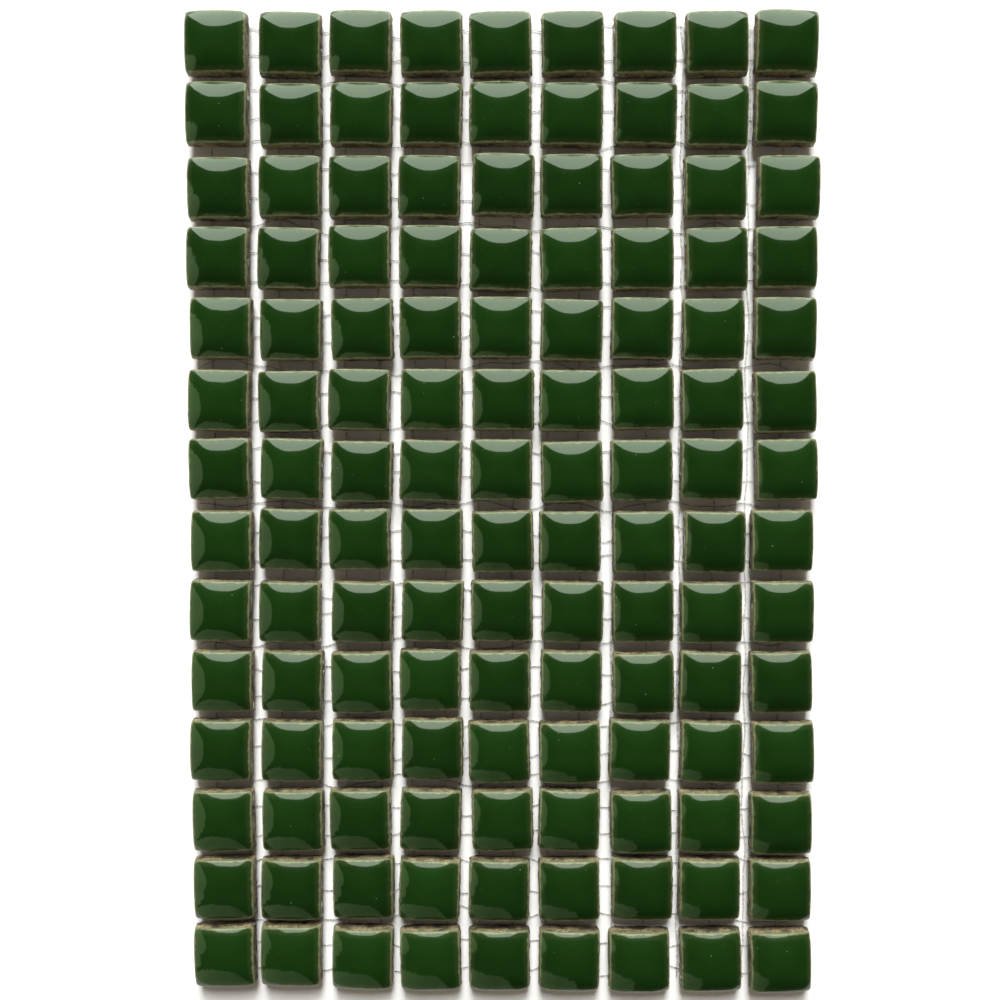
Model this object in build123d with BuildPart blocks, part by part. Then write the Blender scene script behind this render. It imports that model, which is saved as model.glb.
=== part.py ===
"""A mesh-mounted sheet of small square glazed ceramic mosaic tiles.

Millimetres. X runs across the columns, Y along the rows with row 01 at +Y, and Z up.
The sheet lies on its net, glazed faces up, with the origin under its middle at the net's back.
"""

import os
from math import cos, radians, sin
from random import Random

from build123d import *

os.makedirs("parts", exist_ok=True)

# Sheet
COLUMNS = 9
ROWS = 14
TILE_SIDE = 10.0
JOINT = 1.8

# One tile: a flat back, upright walls and a cushion top
TILE_THICKNESS = 6.0
CUSHION_RISE = 1.5
ARRIS_WIDTH = 0.15
ARRIS_DROP = 0.3
BACK_BEVEL = 0.4
BACK_BEVEL_HEIGHT = 1.2

# Hand setting: how far a tile may sit from its place in the grid, and turn in it
SETTING_WANDER = 0.33
SETTING_TURN = 1.6
SETTING_SEED = 14

# Backing net: flat yarns, those along Y (warp) under those along X (weft)
WARP_PITCH = 5.65
WARP_SHIFT = -0.975
WEFT_PITCH = 4.7
NET_TRIM = 0.6
WARP_WIDTH = 0.45
WEFT_WIDTH = 0.35
YARN_THICKNESS = 0.2
YARN_FLAT = 0.6

# Worked out from the above
half = TILE_SIDE / 2
pitch = TILE_SIDE + JOINT
sheet_x = COLUMNS * pitch - JOINT
sheet_y = ROWS * pitch - JOINT
tile_back_z = 2 * YARN_THICKNESS

# The cushion's section: one arc over the whole top, then the arris where the glaze ends
rim_x = half - ARRIS_WIDTH
rim_z = TILE_THICKNESS - CUSHION_RISE
shoulder_z = rim_z - ARRIS_DROP

with BuildLine() as cushion:
    ThreePointArc((rim_x, rim_z), (0, TILE_THICKNESS), (-rim_x, rim_z))
    Polyline(
        (rim_x, rim_z),
        (half, shoulder_z),
        (half, BACK_BEVEL_HEIGHT),
        (half - BACK_BEVEL, 0),
        (BACK_BEVEL - half, 0),
        (-half, BACK_BEVEL_HEIGHT),
        (-half, shoulder_z),
        (-rim_x, rim_z),
    )

# The same section pushed both ways: where the two meet, the top has a hip to each corner
with BuildPart() as tile:
    with BuildSketch(Plane.XZ):
        add(cushion.line)
        make_face()
    extrude(amount=TILE_SIDE, both=True)
    with BuildSketch(Plane.YZ):
        add(cushion.line)
        make_face()
    extrude(amount=TILE_SIDE, both=True, mode=Mode.INTERSECT)

# Hand-set places: a fixed seed, then the whole sheet brought back to the middle of its outline
hand = Random(SETTING_SEED)
settings = []
for row in range(ROWS):
    for column in range(COLUMNS):
        x = (column - (COLUMNS - 1) / 2) * pitch + hand.uniform(-SETTING_WANDER, SETTING_WANDER)
        y = ((ROWS - 1) / 2 - row) * pitch + hand.uniform(-SETTING_WANDER, SETTING_WANDER)
        turn = hand.uniform(-SETTING_TURN, SETTING_TURN)
        reach = half * (cos(radians(abs(turn))) + sin(radians(abs(turn))))
        settings.append((row, x, y, turn, reach))
middle_x = (min(s[1] - s[4] for s in settings) + max(s[1] + s[4] for s in settings)) / 2
middle_y = (min(s[2] - s[4] for s in settings) + max(s[2] + s[4] for s in settings)) / 2

for row in range(ROWS):
    places = [
        Location((x - middle_x, y - middle_y, tile_back_z), (0, 0, turn))
        for tile_row_index, x, y, turn, reach in settings
        if tile_row_index == row
    ]
    with BuildPart() as tile_row:
        with Locations(*places):
            add(tile.part)
    tile_row.part.label = f"tile_row_{row + 1:02d}"
    export_step(tile_row.part, f"parts/tile_row_{row + 1:02d}.step")

# Yarns: as many as fit inside the trimmed edge; the net was laid a little off the sheet's middle
warp_count = int((sheet_x - 2 * NET_TRIM - 2 * abs(WARP_SHIFT)) / WARP_PITCH) + 1
weft_count = int((sheet_y - 2 * NET_TRIM) / WEFT_PITCH) + 1

with BuildPart() as warp_yarn:
    with BuildSketch(Plane.XZ):
        with BuildLine():
            Polyline(
                (-WARP_WIDTH / 2, YARN_THICKNESS / 2),
                (-WARP_WIDTH * YARN_FLAT / 2, 0),
                (WARP_WIDTH * YARN_FLAT / 2, 0),
                (WARP_WIDTH / 2, YARN_THICKNESS / 2),
                (WARP_WIDTH * YARN_FLAT / 2, YARN_THICKNESS),
                (-WARP_WIDTH * YARN_FLAT / 2, YARN_THICKNESS),
                close=True,
            )
        make_face()
    extrude(amount=sheet_y / 2 - NET_TRIM, both=True)

with BuildPart() as net_warp:
    with Locations((WARP_SHIFT, 0, 0)):
        with GridLocations(WARP_PITCH, 0, warp_count, 1):
            add(warp_yarn.part)
net_warp.part.label = "net_warp"
export_step(net_warp.part, "parts/net_warp.step")

with BuildPart() as weft_yarn:
    with BuildSketch(Plane.YZ):
        with BuildLine():
            Polyline(
                (-WEFT_WIDTH / 2, YARN_THICKNESS * 1.5),
                (-WEFT_WIDTH * YARN_FLAT / 2, YARN_THICKNESS),
                (WEFT_WIDTH * YARN_FLAT / 2, YARN_THICKNESS),
                (WEFT_WIDTH / 2, YARN_THICKNESS * 1.5),
                (WEFT_WIDTH * YARN_FLAT / 2, YARN_THICKNESS * 2),
                (-WEFT_WIDTH * YARN_FLAT / 2, YARN_THICKNESS * 2),
                close=True,
            )
        make_face()
    extrude(amount=sheet_x / 2 - NET_TRIM, both=True)

with BuildPart() as net_weft:
    with GridLocations(0, WEFT_PITCH, 1, weft_count):
        add(weft_yarn.part)
net_weft.part.label = "net_weft"
export_step(net_weft.part, "parts/net_weft.step")

print("sheet", round(sheet_x, 1), "x", round(sheet_y, 1), "shoulder", round(shoulder_z, 2))
print("warp", warp_count, "weft", weft_count, "shift", round(middle_x, 3), round(middle_y, 3))
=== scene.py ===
# %% [markdown]
# # A sheet of glazed mosaic tiles
# Small square tiles with a cushion top and a dark green gloss glaze, glued to a thin net.
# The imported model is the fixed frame: it says where every tile and yarn lies, in metres.
# This lesson reads those places and dresses them, so nothing is measured twice.

# %% Load the frame
import math
from random import Random

import bmesh
import bpy
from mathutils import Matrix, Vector


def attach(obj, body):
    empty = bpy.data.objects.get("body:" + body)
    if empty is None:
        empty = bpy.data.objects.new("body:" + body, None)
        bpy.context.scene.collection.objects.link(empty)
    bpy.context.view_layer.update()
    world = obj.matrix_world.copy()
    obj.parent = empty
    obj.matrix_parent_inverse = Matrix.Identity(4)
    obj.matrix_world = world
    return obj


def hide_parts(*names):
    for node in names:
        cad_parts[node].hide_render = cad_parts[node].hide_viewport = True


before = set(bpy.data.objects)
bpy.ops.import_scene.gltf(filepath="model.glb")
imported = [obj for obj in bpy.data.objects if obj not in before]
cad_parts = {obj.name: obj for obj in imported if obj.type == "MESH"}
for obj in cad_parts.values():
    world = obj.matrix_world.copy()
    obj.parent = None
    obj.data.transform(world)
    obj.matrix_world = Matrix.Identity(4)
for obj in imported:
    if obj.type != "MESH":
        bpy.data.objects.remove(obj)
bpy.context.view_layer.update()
MM = 0.001
tile_rows = sorted(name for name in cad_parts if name.startswith("tile_row_"))
print("tile rows in the frame:", len(tile_rows))

# %% [markdown]
# ## Where the pieces lie
# A node of the frame is a mesh of loose triangles that holds several separate solids. Their places could
# be typed in, but would be wrong after any change to the model. So a copy of the mesh is welded, and
# walking along its edges finds the solids one by one. They are sorted by place: each run then numbers them
# alike, and every seeded difference between tiles and between yarns stays the same.

# %% Take a node of the frame apart
WELD_DISTANCE = 0.002 * MM
PLACE_STEP = 0.1 * MM


def place_of(solid):
    middle = sum(solid, Vector()) / len(solid)
    return [round(part / PLACE_STEP) for part in middle]


def solids_of(node_name):
    work = bmesh.new()
    work.from_mesh(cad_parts[node_name].data)
    bmesh.ops.remove_doubles(work, verts=work.verts, dist=WELD_DISTANCE)
    unseen = set(work.verts)
    found = []
    for first in work.verts:
        if first not in unseen:
            continue
        unseen.remove(first)
        front = [first]
        solid = []
        while front:
            vert = front.pop()
            solid.append(vert.co.copy())
            near = [edge.other_vert(vert) for edge in vert.link_edges]
            fresh = [other for other in near if other in unseen]
            unseen.difference_update(fresh)
            front.extend(fresh)
        found.append(solid)
    work.free()
    return sorted(found, key=place_of)


print("solids in the first row:", len(solids_of(tile_rows[0])))

# %% [markdown]
# ## Each tile's centre and turn
# The tiles are set by hand, each a little off its place in the grid and a little turned. A tile's box would
# give its centre but not its turn. Its flat back is a square, and that square's corners give both.

# %% Read the tiles' places and their common sizes
BACK_TOLERANCE = 0.001 * MM


def back_of(solid):
    lowest = min(point.z for point in solid)
    return [point for point in solid if point.z < lowest + BACK_TOLERANCE]


def centre_and_turn(solid):
    back = back_of(solid)
    centre = sum(back, Vector()) / len(back)
    arms = [point - centre for point in back]
    corner = max(arms, key=lambda arm: arm.x + arm.y)
    return centre, math.atan2(corner.y, corner.x) - math.pi / 4


tile_places = {name: [centre_and_turn(solid) for solid in solids_of(name)] for name in tile_rows}
first_tile = solids_of(tile_rows[0])[0]
centre, turn = tile_places[tile_rows[0]][0]
ahead = Vector((math.cos(turn), math.sin(turn), 0))
tile_side = 2 * max((point - centre).dot(ahead) for point in first_tile)
back_side = 2 * max((point - centre).dot(ahead) for point in back_of(first_tile))
tile_thickness = max(point.z for point in first_tile) - centre.z
print("tiles:", sum(len(places) for places in tile_places.values()), "side", round(tile_side / MM, 2), "mm")

# %% [markdown]
# ## One helper for every node tree
# Geometry trees and material trees are both nodes with settings, values and links. Each node could be
# written out in three or four lines, but then the links are hard to follow. So one function adds a node
# and feeds it: with a number, a colour, a socket, or another node, whose first output in use is then taken.

# %% Node helper, colour helper, and short names for the commonest nodes
MATH = "ShaderNodeMath"
VECTOR_MATH = "ShaderNodeVectorMath"
NOISE = "ShaderNodeTexNoise"
MAP_RANGE = "ShaderNodeMapRange"
MIX = "ShaderNodeMix"
STORE = "GeometryNodeStoreNamedAttribute"
STORED = "GeometryNodeInputNamedAttribute"


def node(tree, kind, feeds=None, **settings):
    made = tree.nodes.new(kind)
    for name, value in settings.items():
        setattr(made, name, value)
    for socket, value in (feeds or {}).items():
        if isinstance(value, bpy.types.Node):
            value = next(output for output in value.outputs if output.enabled)
        if isinstance(value, bpy.types.NodeSocket):
            tree.links.new(value, made.inputs[socket])
        else:
            made.inputs[socket].default_value = value
    return made


def colour(hex_code):
    parts = [int(hex_code[i:i + 2], 16) / 255 for i in (1, 3, 5)]
    return tuple(c / 12.92 if c <= 0.04045 else ((c + 0.055) / 1.055) ** 2.4 for c in parts) + (1.0,)


print("mid grey in linear light:", round(colour("#808080")[0], 3))

# %% [markdown]
# ## The glaze and the clay
# The tile is one fired piece: tan clay with a glass-like green coat on its top. The coat is thick and
# dark on the flat, runs thin where the top rolls over, and breaks to a pale olive line at the edge.
# Below that the clay is bare, stained and specked. Two materials with a cut between them would give a
# ruler-straight edge, so one material mixes both by the tile's own measurements, kept as attributes.

# %% Fired tile: what the material reads
# Millimetres in from the tile's rim, millimetres down its wall, and a tone that is the tile's own
fired = bpy.data.materials.new("green_gloss_glaze_on_clay")
fired.use_nodes = True
fired_tree = fired.node_tree
fired_tree.nodes.clear()
place = node(fired_tree, "ShaderNodeTexCoord").outputs["Object"]
edge_mm = node(fired_tree, "ShaderNodeAttribute", attribute_name="edge_mm").outputs["Fac"]
below_mm = node(fired_tree, "ShaderNodeAttribute", attribute_name="below_mm").outputs["Fac"]
tone = node(fired_tree, "ShaderNodeAttribute", attribute_name="tile_tone").outputs["Fac"]
print("material:", fired.name)

# %% Fired tile: depth of the glaze
# The melt pools: slow changes of depth over about 4 mm, added to the tile's own tone
POOL_SPACING = 4 * MM
POOL_SWING = 0.55
POOL_START = -0.28
pool = node(fired_tree, NOISE, {"Vector": place, "Scale": 1 / POOL_SPACING, "Detail": 2.0})
pooled = node(fired_tree, MATH, {0: pool, 1: POOL_SWING, 2: POOL_START}, operation="MULTIPLY_ADD")
depth = node(fired_tree, MATH, {0: pooled, 1: tone}, operation="ADD")
green_mix = {"Factor": depth, "A": colour("#12280a"), "B": colour("#183610")}
deep_glaze = node(fired_tree, MIX, green_mix, data_type="RGBA")

# It thins a little over the last millimetre, and at the rim breaks to an olive line that wanders
RIM_SPACING = 0.9 * MM
RIM_SWING_MM = 0.56
RIM_START_MM = -0.27
rim = node(fired_tree, NOISE, {"Vector": place, "Scale": 1 / RIM_SPACING, "Detail": 3.0})
rim_wander = node(fired_tree, MATH, {0: rim, 1: RIM_SWING_MM, 2: RIM_START_MM}, operation="MULTIPLY_ADD")
rim_mm = node(fired_tree, MATH, {0: edge_mm, 1: rim_wander}, operation="ADD")
rim_line = node(fired_tree, MAP_RANGE, {"Value": rim_mm, "From Min": 0.32, "From Max": 0.12})
roll = node(fired_tree, MAP_RANGE, {"Value": rim_mm, "From Min": 1.1, "From Max": 0.2, "To Max": 0.13})
thinness = node(fired_tree, MATH, {0: rim_line, 1: roll}, operation="MAXIMUM")
olive_mix = {"Factor": thinness, "A": deep_glaze, "B": colour("#6e7252")}
glaze = node(fired_tree, MIX, olive_mix, data_type="RGBA")
print("nodes up to the glaze:", len(fired_tree.nodes))

# %% Fired tile: pinholes and dust
# Pale dots in some cells of a loose grid. The largest dot's radius is a share of the grid's spacing


def dots(spacing, empty_share, largest, strength):
    cells = node(fired_tree, "ShaderNodeTexVoronoi", {"Vector": place, "Scale": 1 / spacing})
    draw = node(fired_tree, "ShaderNodeSeparateColor", {"Color": cells.outputs["Color"]})
    radius = node(fired_tree, MAP_RANGE, {"Value": draw, "From Min": empty_share, "To Max": largest})
    dot = node(fired_tree, MATH, {0: cells.outputs["Distance"], 1: radius}, operation="LESS_THAN")
    return node(fired_tree, MATH, {0: dot, 1: strength}, operation="MULTIPLY")


pinholes = dots(spacing=1.6 * MM, empty_share=0.66, largest=0.065, strength=0.45)
dust = dots(spacing=0.6 * MM, empty_share=0.7, largest=0.13, strength=0.12)
specks = node(fired_tree, MATH, {0: pinholes, 1: dust}, operation="MAXIMUM")
speck_mix = {"Factor": specks, "A": glaze, "B": colour("#93a687")}
specked_glaze = node(fired_tree, MIX, speck_mix, data_type="RGBA")
print("nodes up to the specks:", len(fired_tree.nodes))

# %% Fired tile: bare clay
# Tan, clouded over 1.5 mm, with dark grit and wider stains
CLOUD_SPACING = 1.5 * MM
GRIT_SPACING = 0.45 * MM
STAIN_SPACING = 2.2 * MM
cloud = node(fired_tree, NOISE, {"Vector": place, "Scale": 1 / CLOUD_SPACING, "Detail": 4.0})
grit = node(fired_tree, NOISE, {"Vector": place, "Scale": 1 / GRIT_SPACING, "Detail": 2.0})
stain = node(fired_tree, NOISE, {"Vector": place, "Scale": 1 / STAIN_SPACING, "Detail": 4.0})
grit_mark = node(fired_tree, MAP_RANGE, {"Value": grit, "From Min": 0.56, "From Max": 0.64})
stain_range = {"Value": stain, "From Min": 0.46, "From Max": 0.6, "To Max": 0.85}
stain_mark = node(fired_tree, MAP_RANGE, stain_range)
dark_mark = node(fired_tree, MATH, {0: grit_mark, 1: stain_mark}, operation="MAXIMUM")
tan_mix = {"Factor": cloud, "A": colour("#5f523e"), "B": colour("#b9aa84")}
tan_clay = node(fired_tree, MIX, tan_mix, data_type="RGBA")
mark_mix = {"Factor": dark_mark, "A": tan_clay, "B": colour("#2a281f")}
clay = node(fired_tree, MIX, mark_mix, data_type="RGBA")
print("nodes up to the clay:", len(fired_tree.nodes))

# %% Fired tile: where the glaze stops
# A ragged line, which runs down the wall here and there
RUN_SPACING = 1.3 * MM
SHORT_RUN_MM = 0.25
LONG_RUN_MM = 2.4
LINE_BLUR_MM = 0.06
runs = node(fired_tree, NOISE, {"Vector": place, "Scale": 1 / RUN_SPACING, "Detail": 3.0})
run_range = {"Value": runs, "From Min": 0.5, "From Max": 0.75, "To Min": SHORT_RUN_MM, "To Max": LONG_RUN_MM}
run_mm = node(fired_tree, MAP_RANGE, run_range)
past_run = node(fired_tree, MATH, {0: below_mm, 1: run_mm}, operation="SUBTRACT")
bare = node(fired_tree, MAP_RANGE, {"Value": past_run, "From Min": -LINE_BLUR_MM, "From Max": LINE_BLUR_MM})

# Crawled edges: on the few tiles with the highest tone the glaze has drawn back from its rim in places
CRAWL_MM = 0.5
CRAWL_BLUR_MM = 0.2
crawl_range = {"Value": tone, "From Min": 0.665, "From Max": 0.695, "To Max": CRAWL_MM}
crawl_reach = node(fired_tree, MAP_RANGE, crawl_range)
crawl_spot = node(fired_tree, MAP_RANGE, {"Value": runs, "From Min": 0.5, "From Max": 0.62})
crawl_mm = node(fired_tree, MATH, {0: crawl_reach, 1: crawl_spot}, operation="MULTIPLY")
past_crawl = node(fired_tree, MATH, {0: crawl_mm, 1: rim_mm}, operation="SUBTRACT")
crawled = node(fired_tree, MAP_RANGE, {"Value": past_crawl, "From Max": CRAWL_BLUR_MM, "To Max": 0.7})
clay_mask = node(fired_tree, MATH, {0: bare, 1: crawled}, operation="MAXIMUM")
skin = node(fired_tree, MIX, {"Factor": clay_mask, "A": specked_glaze, "B": clay}, data_type="RGBA")
print("nodes up to the skin:", len(fired_tree.nodes))

# %% Fired tile: gloss
# Glaze is a glass: it mirrors sharply, with a faint waviness, and a weak softer coat gives its reflections
# a little haze. Fired clay is dull
GLAZE_ROUGHNESS = 0.06
CLAY_ROUGHNESS = 0.8
GLASS_IOR = 1.5
SWELL_SPACING = 0.7 * MM
SWELL_HEIGHT = 0.05 * MM
gloss_range = {"Value": clay_mask, "To Min": GLAZE_ROUGHNESS, "To Max": CLAY_ROUGHNESS}
gloss = node(fired_tree, MAP_RANGE, gloss_range)
swell = node(fired_tree, NOISE, {"Vector": place, "Scale": 1 / SWELL_SPACING, "Detail": 1.0})
wavy = node(fired_tree, "ShaderNodeBump", {"Strength": 0.06, "Distance": SWELL_HEIGHT, "Height": swell})
glass = node(fired_tree, "ShaderNodeBsdfPrincipled", {
    "Base Color": skin,
    "Roughness": gloss,
    "Normal": wavy,
    "IOR": GLASS_IOR,
    "Coat Weight": 0.1,
    "Coat Roughness": 0.3,
})
node(fired_tree, "ShaderNodeOutputMaterial", {"Surface": glass})
print("nodes in", fired.name, len(fired_tree.nodes))

# %% [markdown]
# ## One tile by rule, set out along its row
# A pressed tile follows a rule: a square outline with softened corners, walls that flare a little, and a
# top that is nearly flat in the middle and rolls down to all four sides and smoothly over the corners.
# It could be modelled once and copied, but every real tile differs. So a Geometry Nodes tree builds the
# tile from named sizes, puts one on each point of a row, and lets noise and a seeded lean make each its own.

# %% Tile tree: named inputs


def geometry_tree(name, inputs):
    made = bpy.data.node_groups.new(name, "GeometryNodeTree")
    made.interface.new_socket("Geometry", in_out="INPUT", socket_type="NodeSocketGeometry")
    for label, kind in inputs.items():
        made.interface.new_socket(label, in_out="INPUT", socket_type="NodeSocket" + kind)
    made.interface.new_socket("Geometry", in_out="OUTPUT", socket_type="NodeSocketGeometry")
    return made


tile_size_names = (
    "Side", "Thickness", "Cushion Rise", "Cushion Power", "Cushion Squareness", "Corner Sharpness",
    "Back Inset", "Back Inset Height", "Wall Flare", "Edge Wander", "Wall Roughness", "Glaze Ripple", "Lean",
)
tile_inputs = {label: "Float" for label in tile_size_names}
tile_tree = geometry_tree("cushion_tiles", tile_inputs | {"Seed": "Int", "Material": "Material"})
sizes = node(tile_tree, "NodeGroupInput").outputs
print("tile tree inputs:", [socket.name for socket in sizes if socket.name])

# %% Tile tree: plan
# A box of points from -1 to 1. Its lines are drawn towards the rim, where the form bends most
TOP_LINES = 29
WALL_LINES = 4
DRAW_POWER = 1.7
box = node(tile_tree, "GeometryNodeMeshCube", {
    "Size": (2, 2, 1),
    "Vertices X": TOP_LINES,
    "Vertices Y": TOP_LINES,
    "Vertices Z": WALL_LINES,
})
spot = node(tile_tree, "ShaderNodeSeparateXYZ", {0: node(tile_tree, "GeometryNodeInputPosition")})
half_side = node(tile_tree, MATH, {0: sizes["Side"], 1: 0.5}, operation="MULTIPLY")
plain = []
drawn = []
for axis in ("X", "Y"):
    size = node(tile_tree, MATH, {0: spot.outputs[axis]}, operation="ABSOLUTE")
    rest = node(tile_tree, MATH, {0: 1.0, 1: size}, operation="SUBTRACT", use_clamp=True)
    near = node(tile_tree, MATH, {0: rest, 1: DRAW_POWER}, operation="POWER")
    plain.append(size)
    drawn.append(node(tile_tree, MATH, {0: 1.0, 1: near}, operation="SUBTRACT"))
ring = node(tile_tree, MATH, {0: drawn[0], 1: drawn[1]}, operation="MAXIMUM")
outer = node(tile_tree, MATH, {0: plain[0], 1: plain[1]}, operation="MAXIMUM")
print("plan: lines each way", TOP_LINES)

# %% Tile tree: softened corners
# Each square ring of points is drawn in to a superellipse, a square with rounded corners
NOT_ZERO = 0.0001
sharpness = sizes["Corner Sharpness"]
powers = [node(tile_tree, MATH, {0: share, 1: sharpness}, operation="POWER") for share in drawn]
power_sum = node(tile_tree, MATH, {0: powers[0], 1: powers[1]}, operation="ADD")
root = node(tile_tree, MATH, {0: 1.0, 1: sharpness}, operation="DIVIDE")
norm = node(tile_tree, MATH, {0: power_sum, 1: root}, operation="POWER")
norm_safe = node(tile_tree, MATH, {0: norm, 1: NOT_ZERO}, operation="MAXIMUM")
soften = node(tile_tree, MATH, {0: ring, 1: norm_safe}, operation="DIVIDE")
shares = [node(tile_tree, MATH, {0: share, 1: soften}, operation="MULTIPLY") for share in drawn]
reach = [node(tile_tree, MATH, {0: share, 1: half_side}, operation="MULTIPLY") for share in shares]
print("nodes up to the outline:", len(tile_tree.nodes))

# %% Tile tree: height
# Contour lines of the cushion are rounded squares: a high squareness would leave a crease to each corner
squareness = sizes["Cushion Squareness"]
raised = [node(tile_tree, MATH, {0: share, 1: squareness}, operation="POWER") for share in shares]
raised_sum = node(tile_tree, MATH, {0: raised[0], 1: raised[1]}, operation="ADD")
fall_power = node(tile_tree, MATH, {0: sizes["Cushion Power"], 1: squareness}, operation="DIVIDE")
fall_share = node(tile_tree, MATH, {0: raised_sum, 1: fall_power}, operation="POWER")
fall = node(tile_tree, MATH, {0: fall_share, 1: sizes["Cushion Rise"]}, operation="MULTIPLY")
top = node(tile_tree, MATH, {0: sizes["Thickness"], 1: fall}, operation="SUBTRACT")

# The lines round the wall are drawn towards its top, where the glaze ends
WALL_POWER = 1.6
level = node(tile_tree, MATH, {0: spot.outputs["Z"], 1: 0.5}, operation="ADD", use_clamp=True)
under = node(tile_tree, MATH, {0: 1.0, 1: level}, operation="SUBTRACT", use_clamp=True)
down = node(tile_tree, MATH, {0: under, 1: WALL_POWER}, operation="POWER")
drop = node(tile_tree, MATH, {0: top, 1: down}, operation="MULTIPLY")
height = node(tile_tree, MATH, {0: top, 1: drop}, operation="SUBTRACT")
print("nodes up to the height:", len(tile_tree.nodes))

# %% Tile tree: flare of the wall and bevel to the back
FLARE_DEPTH = 1.2 * MM
flare_part = node(tile_tree, MAP_RANGE, {"Value": drop, "From Max": FLARE_DEPTH})
flare = node(tile_tree, MATH, {0: flare_part, 1: sizes["Wall Flare"]}, operation="MULTIPLY")
flare_share = node(tile_tree, MATH, {0: flare, 1: half_side}, operation="DIVIDE")
flared = node(tile_tree, MATH, {0: 1.0, 1: flare_share}, operation="ADD")
bevel_range = {"Value": height, "From Max": sizes["Back Inset Height"], "To Min": 1.0, "To Max": 0.0}
bevel_part = node(tile_tree, MAP_RANGE, bevel_range)
inset = node(tile_tree, MATH, {0: bevel_part, 1: sizes["Back Inset"]}, operation="MULTIPLY")
inset_share = node(tile_tree, MATH, {0: inset, 1: half_side}, operation="DIVIDE")
girth = node(tile_tree, MATH, {0: flared, 1: inset_share}, operation="SUBTRACT")

# The inner points of the flat back are drawn to its middle, where they merge: no faces are wasted there
RIM_TOLERANCE = 0.001
is_back = node(tile_tree, MATH, {0: level, 1: RIM_TOLERANCE}, operation="LESS_THAN")
is_inner = node(tile_tree, MATH, {0: outer, 1: 1 - RIM_TOLERANCE}, operation="LESS_THAN")
closed = node(tile_tree, MATH, {0: is_back, 1: is_inner}, operation="MULTIPLY")
open_part = node(tile_tree, MATH, {0: 1.0, 1: closed}, operation="SUBTRACT")
spread = node(tile_tree, MATH, {0: girth, 1: open_part}, operation="MULTIPLY")
print("nodes up to the back:", len(tile_tree.nodes))

# %% Tile tree: measures for the material, and the points put in place
MERGE_DISTANCE = 0.001 * MM
signed = []
for axis, side_reach in zip(("X", "Y"), reach):
    way = node(tile_tree, MATH, {0: spot.outputs[axis]}, operation="SIGN")
    there = node(tile_tree, MATH, {0: side_reach, 1: way}, operation="MULTIPLY")
    signed.append(node(tile_tree, MATH, {0: there, 1: spread}, operation="MULTIPLY"))
local = node(tile_tree, "ShaderNodeCombineXYZ", {"X": signed[0], "Y": signed[1], "Z": height})
edge_share = node(tile_tree, MATH, {0: 1.0, 1: ring}, operation="SUBTRACT")
edge = node(tile_tree, MATH, {0: edge_share, 1: half_side}, operation="MULTIPLY")
measures = {
    "edge_mm": ("FLOAT", node(tile_tree, MATH, {0: edge, 1: 1 / MM}, operation="MULTIPLY")),
    "below_mm": ("FLOAT", node(tile_tree, MATH, {0: drop, 1: 1 / MM}, operation="MULTIPLY")),
    "local": ("FLOAT_VECTOR", local),
}
shape = box
for label, (kind, value) in measures.items():
    kept = {"Geometry": shape, "Name": label, "Value": value}
    shape = node(tile_tree, STORE, kept, data_type=kind, domain="POINT")
own_place = node(tile_tree, STORED, {"Name": "local"}, data_type="FLOAT_VECTOR")
formed = node(tile_tree, "GeometryNodeSetPosition", {"Geometry": shape, "Position": own_place})
one_tile = node(tile_tree, "GeometryNodeMergeByDistance", {"Geometry": formed, "Distance": MERGE_DISTANCE})
print("measures kept:", list(measures))

# %% Tile tree: set out along the row
# Each point of the row first draws its tile's tone and the way it leans from the seed
draws = {
    "tile_tone": ("FLOAT", 0.3, 0.7),
    "tile_lean": ("FLOAT_VECTOR", (-1, -1, 0), (1, 1, 0)),
}
points = sizes["Geometry"]
for label, (kind, least, most) in draws.items():
    limits = {"Min": least, "Max": most, "Seed": sizes["Seed"]}
    draw = node(tile_tree, "FunctionNodeRandomValue", limits, data_type=kind)
    kept = {"Geometry": points, "Name": label, "Value": draw}
    points = node(tile_tree, STORE, kept, data_type=kind, domain="POINT")
as_points = node(tile_tree, "GeometryNodeMeshToPoints", {"Mesh": points})
turn_value = node(tile_tree, STORED, {"Name": "turn"}, data_type="FLOAT")
turn_angles = node(tile_tree, "ShaderNodeCombineXYZ", {"Z": turn_value})
turned = node(tile_tree, "FunctionNodeEulerToRotation", {0: turn_angles})
row_parts = {"Points": as_points, "Instance": one_tile, "Rotation": turned}
set_out = node(tile_tree, "GeometryNodeInstanceOnPoints", row_parts)
real_row = node(tile_tree, "GeometryNodeRealizeInstances", {"Geometry": set_out})
print("drawn for each tile:", list(draws))

# %% Tile tree: uneven sides
# The whole outline bends slowly, and the bare wall below the glaze is rough
BEND_SPACING = 3.2 * MM
ROUGH_SPACING = 0.8 * MM
SMOOTH_TO_MM = 0.1
ROUGH_FROM_MM = 1.0
NOISE_MIDDLE = (0.5, 0.5, 0.5)
LEVEL_ONLY = (1, 1, 0)
here = node(tile_tree, "GeometryNodeInputPosition")
below = node(tile_tree, STORED, {"Name": "below_mm"}, data_type="FLOAT")
bare_range = {"Value": below, "From Min": SMOOTH_TO_MM, "From Max": ROUGH_FROM_MM}
bare_share = node(tile_tree, MAP_RANGE, bare_range)
rough_size = node(tile_tree, MATH, {0: bare_share, 1: sizes["Wall Roughness"]}, operation="MULTIPLY")
uneven = []
for spacing, size in ((BEND_SPACING, sizes["Edge Wander"]), (ROUGH_SPACING, rough_size)):
    lumps = node(tile_tree, NOISE, {"Vector": here, "Scale": 1 / spacing, "Detail": 2.0})
    about_zero = {0: lumps.outputs["Color"], 1: NOISE_MIDDLE}
    centred = node(tile_tree, VECTOR_MATH, about_zero, operation="SUBTRACT")
    sized = node(tile_tree, VECTOR_MATH, {0: centred, "Scale": size}, operation="SCALE")
    uneven.append(node(tile_tree, VECTOR_MATH, {0: sized, 1: LEVEL_ONLY}, operation="MULTIPLY"))
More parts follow.
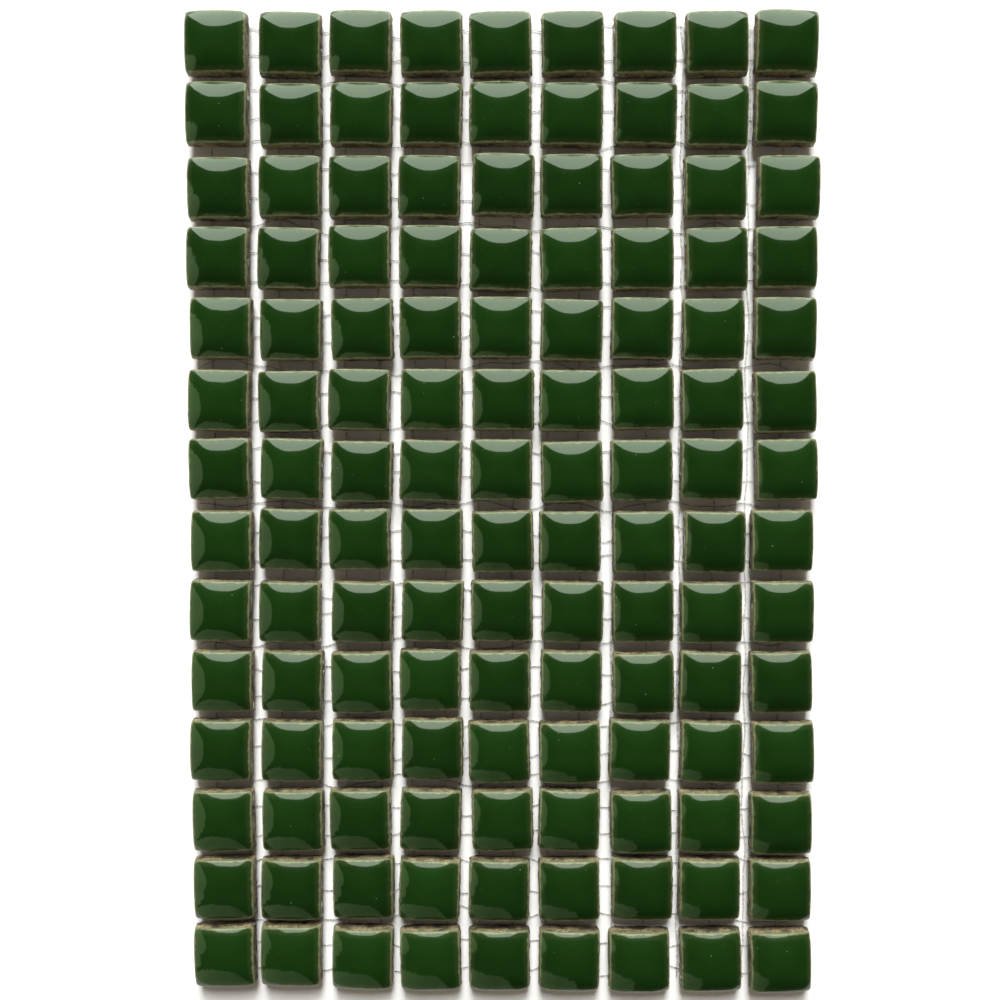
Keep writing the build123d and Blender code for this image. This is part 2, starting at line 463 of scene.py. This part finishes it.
sideways = node(tile_tree, VECTOR_MATH, {0: uneven[0], 1: uneven[1]}, operation="ADD")
print("nodes up to the uneven sides:", len(tile_tree.nodes))

# %% Tile tree: rippled and leaning top
# Both lessen towards the back, which stays flat on the net
RIPPLE_SPACING = 3.6 * MM
ripple = node(tile_tree, NOISE, {"Vector": here, "Scale": 1 / RIPPLE_SPACING, "Detail": 1.0})
ripple_mid = node(tile_tree, MATH, {0: ripple, 1: 0.5}, operation="SUBTRACT")
ripple_size = node(tile_tree, MATH, {0: ripple_mid, 1: sizes["Glaze Ripple"]}, operation="MULTIPLY")
lean_way = node(tile_tree, STORED, {"Name": "tile_lean"}, data_type="FLOAT_VECTOR")
tile_spot = node(tile_tree, STORED, {"Name": "local"}, data_type="FLOAT_VECTOR")
tile_plan = node(tile_tree, VECTOR_MATH, {0: tile_spot, 1: LEVEL_ONLY}, operation="MULTIPLY")
lean_far = node(tile_tree, VECTOR_MATH, {0: tile_plan, 1: lean_way}, operation="DOT_PRODUCT")
lean_size = node(tile_tree, MATH, {0: lean_far, 1: sizes["Lean"]}, operation="MULTIPLY")
rise = node(tile_tree, MATH, {0: ripple_size, 1: lean_size}, operation="ADD")
tile_height = node(tile_tree, "ShaderNodeSeparateXYZ", {0: tile_spot}).outputs["Z"]
high_share = node(tile_tree, MATH, {0: tile_height, 1: sizes["Thickness"]}, operation="DIVIDE")
rise_here = node(tile_tree, MATH, {0: rise, 1: high_share}, operation="MULTIPLY")
upwards = node(tile_tree, "ShaderNodeCombineXYZ", {"Z": rise_here})
shift = node(tile_tree, VECTOR_MATH, {0: sideways, 1: upwards}, operation="ADD")
shifted = node(tile_tree, "GeometryNodeSetPosition", {"Geometry": real_row, "Offset": shift})
smooth = node(tile_tree, "GeometryNodeSetShadeSmooth", {"Geometry": shifted})
dressed = node(tile_tree, "GeometryNodeSetMaterial", {"Geometry": smooth, "Material": sizes["Material"]})
node(tile_tree, "NodeGroupOutput", {"Geometry": dressed})
print("tile tree nodes:", len(tile_tree.nodes))

# %% [markdown]
# ## Baking a tree to a plain mesh
# The tree runs as a modifier on a mesh of bare points. The modifier could stay live, but a plain mesh is
# what the export and the checks read. So the modifier's inputs are set by each socket's identifier, the
# object is evaluated once, the result becomes the piece's own mesh, and the modifier goes.

# %% Bake helper, and the tiles, one piece a row
FIRST_TILE_SEED = 40


def baked(name, points, attributes, tree, values):
    mesh = bpy.data.meshes.new(name)
    mesh.from_pydata(points, [], [])
    for label, numbers in attributes.items():
        mesh.attributes.new(label, "FLOAT", "POINT").data.foreach_set("value", numbers)
    piece = bpy.data.objects.new(name, mesh)
    bpy.context.scene.collection.objects.link(piece)
    modifier = piece.modifiers.new("rule", "NODES")
    modifier.node_group = tree
    for item in tree.interface.items_tree:
        if item.item_type == "SOCKET" and item.in_out == "INPUT" and item.name in values:
            modifier[item.identifier] = values[item.name]
    graph = bpy.context.evaluated_depsgraph_get()
    result = bpy.data.meshes.new_from_object(piece.evaluated_get(graph))
    piece.modifiers.clear()
    piece.data = result
    result.name = name
    bpy.data.meshes.remove(mesh)
    return piece


def triangle_count(piece):
    return sum(len(polygon.vertices) - 2 for polygon in piece.data.polygons)


tile_sizes = {
    "Side": tile_side,
    "Thickness": tile_thickness,
    "Cushion Rise": 1.6 * MM,
    "Cushion Power": 2.3,
    "Cushion Squareness": 3.3,
    "Corner Sharpness": 24.0,
    "Back Inset": (tile_side - back_side) / 2,
    "Back Inset Height": 1.2 * MM,
    "Wall Flare": 0.18 * MM,
    "Edge Wander": 0.16 * MM,
    "Wall Roughness": 0.45 * MM,
    "Glaze Ripple": 0.06 * MM,
    "Lean": 0.014,
    "Material": fired,
}
triangles = 0
for number, name in enumerate(tile_rows):
    centres = [tuple(centre) for centre, turn in tile_places[name]]
    turns = [turn for centre, turn in tile_places[name]]
    values = tile_sizes | {"Seed": FIRST_TILE_SEED + number}
    row = baked("glazed_" + name, centres, {"turn": turns}, tile_tree, values)
    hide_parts(name)
    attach(row, "root")
    triangles += triangle_count(row)
print("tile pieces:", len(tile_rows), "triangles:", triangles)

# %% [markdown]
# ## The yarn
# The net is a thin textile of fibre yarns with a dull coat, pale in places and grey in others. One even
# grey would look like plastic, so fine noise mixes a dark and a pale tone and roughens the coat.
# The thin yarns across the sheet are painted a darker grey than those along it, as painted shade for the
# shadow they lie in, so one function makes both finishes.

# %% Yarn finishes
FIBRE_SPACING = 0.5 * MM
FUZZ_HEIGHT = 0.03 * MM
COAT_ROUGHNESS = 0.6


def yarn_finish(name, dark, pale):
    made = bpy.data.materials.new(name)
    made.use_nodes = True
    tree = made.node_tree
    tree.nodes.clear()
    place = node(tree, "ShaderNodeTexCoord").outputs["Object"]
    fibre = node(tree, NOISE, {"Vector": place, "Scale": 1 / FIBRE_SPACING, "Detail": 3.0})
    contrast = node(tree, MAP_RANGE, {"Value": fibre, "From Min": 0.35, "From Max": 0.65})
    fibre_mix = {"Factor": contrast, "A": colour(dark), "B": colour(pale)}
    fibre_tone = node(tree, MIX, fibre_mix, data_type="RGBA")
    fuzz = node(tree, "ShaderNodeBump", {"Strength": 0.4, "Distance": FUZZ_HEIGHT, "Height": fibre})
    coat = {"Base Color": fibre_tone, "Roughness": COAT_ROUGHNESS, "Normal": fuzz}
    strand = node(tree, "ShaderNodeBsdfPrincipled", coat)
    node(tree, "ShaderNodeOutputMaterial", {"Surface": strand})
    return made


yarn_looks = {
    "net_warp": yarn_finish("pale_coated_yarn", "#b4b2ac", "#efede8"),
    # The grey yarns' darker tones are painted shade: the net's pale fibre drawn dark, as it looks in shadow
    "net_weft": yarn_finish("shade_painted_grey_yarn", "#66645f", "#d2d0ca"),
}
print("yarn finishes:", [finish.name for finish in yarn_looks.values()])

# %% [markdown]
# ## The backing net
# Each yarn is two plies that twist round each other and lie a little slack. A flat bar would look like
# wire, and a modelled yarn would have to be bent by hand for every place. So a second tree lays a line at
# each yarn's place in the frame, shifts it by the twist and the slack, and sweeps each ply along it.

# %% Yarn tree: named inputs, and a straight line for each yarn
yarn_size_names = ("Length", "Ply Radius", "Twist Radius", "Twist Length", "Slack", "Slack Length")
yarn_inputs = {label: "Float" for label in yarn_size_names}
yarn_inputs |= {"Along": "Vector", "Steps": "Int", "Seed": "Int", "Material": "Material"}
yarn_tree = geometry_tree("twisted_yarns", yarn_inputs)
sizes = node(yarn_tree, "NodeGroupInput").outputs
half_length = node(yarn_tree, MATH, {0: sizes["Length"], 1: 0.5}, operation="MULTIPLY")
end = node(yarn_tree, VECTOR_MATH, {0: sizes["Along"], "Scale": half_length}, operation="SCALE")
start = node(yarn_tree, VECTOR_MATH, {0: end, "Scale": -1.0}, operation="SCALE")
line = node(yarn_tree, "GeometryNodeCurvePrimitiveLine", {"Start": start, "End": end})
stepped = node(yarn_tree, "GeometryNodeResampleCurve", {"Curve": line, "Count": sizes["Steps"]})
index = node(yarn_tree, "GeometryNodeInputIndex")
kept = {"Geometry": sizes["Geometry"], "Name": "yarn", "Value": index}
numbered = node(yarn_tree, STORE, kept, data_type="FLOAT", domain="POINT")
as_points = node(yarn_tree, "GeometryNodeMeshToPoints", {"Mesh": numbered})
laid = node(yarn_tree, "GeometryNodeInstanceOnPoints", {"Points": as_points, "Instance": stepped})
lines = node(yarn_tree, "GeometryNodeRealizeInstances", {"Geometry": laid})
print("yarn tree inputs:", [socket.name for socket in sizes if socket.name])

# %% Yarn tree: twist and slack
# Each yarn starts its twist at an angle of its own and reads its slack from a line of noise of its own
TWIST_OFFSET = 2.4
SLACK_OFFSET = 7.3
here = node(yarn_tree, "GeometryNodeInputPosition")
run = node(yarn_tree, VECTOR_MATH, {0: here, 1: sizes["Along"]}, operation="DOT_PRODUCT")
aside = node(yarn_tree, VECTOR_MATH, {0: sizes["Along"], 1: (0, 0, 1)}, operation="CROSS_PRODUCT")
which = node(yarn_tree, STORED, {"Name": "yarn"}, data_type="FLOAT")
twists = node(yarn_tree, MATH, {0: run, 1: sizes["Twist Length"]}, operation="DIVIDE")
twist_angle = node(yarn_tree, MATH, {0: twists, 1: math.tau}, operation="MULTIPLY")
angle = node(yarn_tree, MATH, {0: which, 1: TWIST_OFFSET, 2: twist_angle}, operation="MULTIPLY_ADD")
slack_run = node(yarn_tree, MATH, {0: run, 1: sizes["Slack Length"]}, operation="DIVIDE")
slack_line = node(yarn_tree, MATH, {0: which, 1: SLACK_OFFSET, 2: sizes["Seed"]}, operation="MULTIPLY_ADD")
slack_spot = node(yarn_tree, "ShaderNodeCombineXYZ", {"X": slack_run, "Y": slack_line})
slack = node(yarn_tree, NOISE, {"Vector": slack_spot, "Scale": 1.0, "Detail": 1.0})
slack_mid = node(yarn_tree, MATH, {0: slack, 1: 0.5}, operation="SUBTRACT")
slack_size = node(yarn_tree, MATH, {0: slack_mid, 1: sizes["Slack"]}, operation="MULTIPLY")
print("nodes up to the slack:", len(yarn_tree.nodes))

# %% Yarn tree: two plies, half a twist apart
PLY_SIDES = 5
PLY_LIFT = 0.03 * MM
outline = {"Resolution": PLY_SIDES, "Radius": sizes["Ply Radius"]}
profile = node(yarn_tree, "GeometryNodeCurvePrimitiveCircle", outline)
plies = node(yarn_tree, "GeometryNodeJoinGeometry")
for phase in (0.0, math.pi):
    about = node(yarn_tree, MATH, {0: angle, 1: phase}, operation="ADD")
    swing = node(yarn_tree, MATH, {0: about}, operation="COSINE")
    across_feeds = {0: swing, 1: sizes["Twist Radius"], 2: slack_size}
    across = node(yarn_tree, MATH, across_feeds, operation="MULTIPLY_ADD")
    heave = node(yarn_tree, MATH, {0: about}, operation="SINE")
    up = node(yarn_tree, MATH, {0: heave, 1: PLY_LIFT}, operation="MULTIPLY")
    lift = node(yarn_tree, "ShaderNodeCombineXYZ", {"Z": up})
    step = node(yarn_tree, VECTOR_MATH, {0: aside, "Scale": across}, operation="SCALE")
    shift = node(yarn_tree, VECTOR_MATH, {0: step, 1: lift}, operation="ADD")
    ply = node(yarn_tree, "GeometryNodeSetPosition", {"Geometry": lines, "Offset": shift})
    sweep = {"Curve": ply, "Profile Curve": profile, "Fill Caps": True}
    swept = node(yarn_tree, "GeometryNodeCurveToMesh", sweep)
    yarn_tree.links.new(swept.outputs["Mesh"], plies.inputs["Geometry"])
real_yarns = node(yarn_tree, "GeometryNodeRealizeInstances", {"Geometry": plies})
smooth = node(yarn_tree, "GeometryNodeSetShadeSmooth", {"Geometry": real_yarns})
dressed = node(yarn_tree, "GeometryNodeSetMaterial", {"Geometry": smooth, "Material": sizes["Material"]})
node(yarn_tree, "NodeGroupOutput", {"Geometry": dressed})
print("yarn tree nodes:", len(yarn_tree.nodes))

# %% Net, one piece for the yarns each way
YARN_STEP = 0.55 * MM
FIRST_YARN_SEED = 3
X_AXIS = 0
Y_AXIS = 1


def low_high(points):
    low = Vector([min(point[i] for point in points) for i in range(3)])
    high = Vector([max(point[i] for point in points) for i in range(3)])
    return low, high


along_axis = {"net_warp": Y_AXIS, "net_weft": X_AXIS}
net_sizes = {
    "net_warp": {
        "Ply Radius": 0.075 * MM,
        "Twist Radius": 0.12 * MM,
        "Twist Length": 2.4 * MM,
        "Slack": 1.6 * MM,
        "Slack Length": 9 * MM,
    },
    "net_weft": {
        "Ply Radius": 0.05 * MM,
        "Twist Radius": 0.05 * MM,
        "Twist Length": 1.3 * MM,
        "Slack": 6.5 * MM,
        "Slack Length": 11 * MM,
    },
}
for name, axis in along_axis.items():
    boxes = [low_high(solid) for solid in solids_of(name)]
    length = boxes[0][1][axis] - boxes[0][0][axis]
    values = net_sizes[name] | {
        "Along": (1.0 - axis, float(axis), 0.0),
        "Length": length,
        "Steps": int(length / YARN_STEP),
        "Seed": FIRST_YARN_SEED + axis,
        "Material": yarn_looks[name],
    }
    middles = [tuple((low + high) / 2) for low, high in boxes]
    piece = baked("twisted_" + name, middles, {}, yarn_tree, values)
    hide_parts(name)
    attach(piece, "root")
    print(piece.name, "yarns:", len(boxes), "triangles:", triangle_count(piece))

# %% [markdown]
# ## Floor
# The sheet lies on matt white paper, which scatters light evenly and mirrors nothing. A curved backdrop
# would do as well, but the photograph looks straight down, so one flat plane is enough.

# %% Floor
FLOOR_SIDE = 6
bpy.ops.mesh.primitive_plane_add(size=FLOOR_SIDE)
floor = bpy.context.object
floor.name = "pale_floor"
paper = bpy.data.materials.new("matt_white_paper")
paper.use_nodes = True
paper_shader = paper.node_tree.nodes["Principled BSDF"]
paper_shader.inputs["Base Color"].default_value = colour("#f4f4f2")
paper_shader.inputs["Roughness"].default_value = 0.9
floor.data.materials.append(paper)
print("floor:", floor.name, "with", paper.name)

# %% [markdown]
# ## Light
# Soft light comes from the north, past the top of the sheet. One lamp could both light the floor and mirror
# in the glaze, but the two jobs need different shapes. So a tall rectangle only lights, and a broad
# ellipse, nearer so that neither hides the other, only mirrors, as the pale arc on every tile.
# The room mirrors weakly at a tile's left and lower edges. A broad card far off would mirror nearly alike in
# all rows, so a sweep of narrow, dim cards stands from west to south, with tops that follow two arches.
# They are so near the sheet that each row sees them from a different side.

# %% Window
# Azimuths are in degrees from north towards east, and all lengths in metres. The power is that of a
# rectangle with the radiance given, so an ellipse of the same width and height is a little brighter


def soft_light(name, shape, azimuth, gap, width, foot, top, radiance, tint, mirrors):
    lamp = bpy.data.lights.new(name, "AREA")
    lamp.shape = shape
    lamp.size = width
    lamp.size_y = top - foot
    lamp.energy = radiance * math.pi * width * (top - foot)
    lamp.color = colour(tint)[:3]
    holder = bpy.data.objects.new(name, lamp)
    angle = math.radians(azimuth)
    way = Vector((math.sin(angle), math.cos(angle), 0))
    holder.location = way * gap + Vector((0, 0, (top + foot) / 2))
    holder.rotation_euler = (-way).to_track_quat("-Z", "Y").to_euler()
    holder.visible_diffuse = not mirrors
    holder.visible_glossy = mirrors
    bpy.context.scene.collection.objects.link(holder)


soft_light(
    "window_light", "RECTANGLE", azimuth=0, gap=1.6, width=0.7, foot=0.9, top=3.2,
    radiance=31.0, tint="#ffffff", mirrors=False,
)
soft_light(
    "window_shine", "ELLIPSE", azimuth=0, gap=1.5, width=2.75, foot=-1.74, top=1.74,
    radiance=4.1, tint="#f0ffe9", mirrors=True,
)
print("window lights:", [lamp.name for lamp in bpy.data.lights if lamp.name.startswith("window")])

# %% Room
# A card's slope is its height over its gap. The cards just meet, and are dimmer and more uneven to the south
CARD_COUNT = 32
CARD_STEP = 3.6
CARD_GAP = 0.32
CARD_WIDTH = 0.02016
FIRST_AZIMUTH = -73.0
LEAST_SLOPE = 0.07
UNEVEN_SLOPE = 0.002
FIRST_SHINE = 1.14
SHINE_STEP = 0.024
UNEVEN_SHINE = 0.04


def arch(azimuth, slope, middle, spread):
    return slope * math.sqrt(max(0.0, 1 - ((azimuth - middle) / spread) ** 2))


room = Random(5)
for number in range(CARD_COUNT):
    azimuth = FIRST_AZIMUTH - CARD_STEP * number
    west = arch(azimuth, slope=0.89, middle=-98, spread=27)
    south = arch(azimuth, slope=0.8, middle=-160, spread=33)
    slope = max(LEAST_SLOPE, west, south) + UNEVEN_SLOPE * number * room.uniform(-1, 1)
    shine = FIRST_SHINE - SHINE_STEP * number + room.uniform(-UNEVEN_SHINE, UNEVEN_SHINE)
    soft_light(
        f"room_shine_{number}", "RECTANGLE", azimuth=azimuth, gap=CARD_GAP, width=CARD_WIDTH,
        foot=0.0, top=CARD_GAP * slope, radiance=shine, tint="#dcffbc", mirrors=True,
    )
world = bpy.data.worlds.new("dim_room")
world.use_nodes = True
background = world.node_tree.nodes["Background"]
background.inputs["Color"].default_value = colour("#fff0de")
background.inputs["Strength"].default_value = 0.2
bpy.context.scene.world = world
world.cycles_visibility.glossy = False
print("room cards:", CARD_COUNT, "in", world.name)

# %% [markdown]
# ## Camera
# The photograph looks almost straight down from close by, so the outer tiles show the walls that face the
# middle. A far camera with a long lens would hide those walls. The place and the tilt were fitted to the
# grid of tiles in the photograph. The Standard view keeps white paper white and the greens as mixed.

# %% Camera
LENS_MM = 47.83
SENSOR_MM = 36.0
CAMERA_PLACE_MM = (2.82, 9.46, 226)
CAMERA_TILT_DEGREES = (-2.141, 0.808, 0.07)
lens = bpy.data.cameras.new("camera")
lens.lens = LENS_MM
lens.sensor_width = SENSOR_MM
lens.sensor_fit = "HORIZONTAL"
lens.clip_start = 10 * MM
viewer = bpy.data.objects.new("camera", lens)
viewer.location = [part * MM for part in CAMERA_PLACE_MM]
viewer.rotation_euler = [math.radians(part) for part in CAMERA_TILT_DEGREES]
bpy.context.scene.collection.objects.link(viewer)
bpy.context.scene.camera = viewer
bpy.context.scene.view_settings.view_transform = "Standard"
print("camera height:", CAMERA_PLACE_MM[2], "mm")
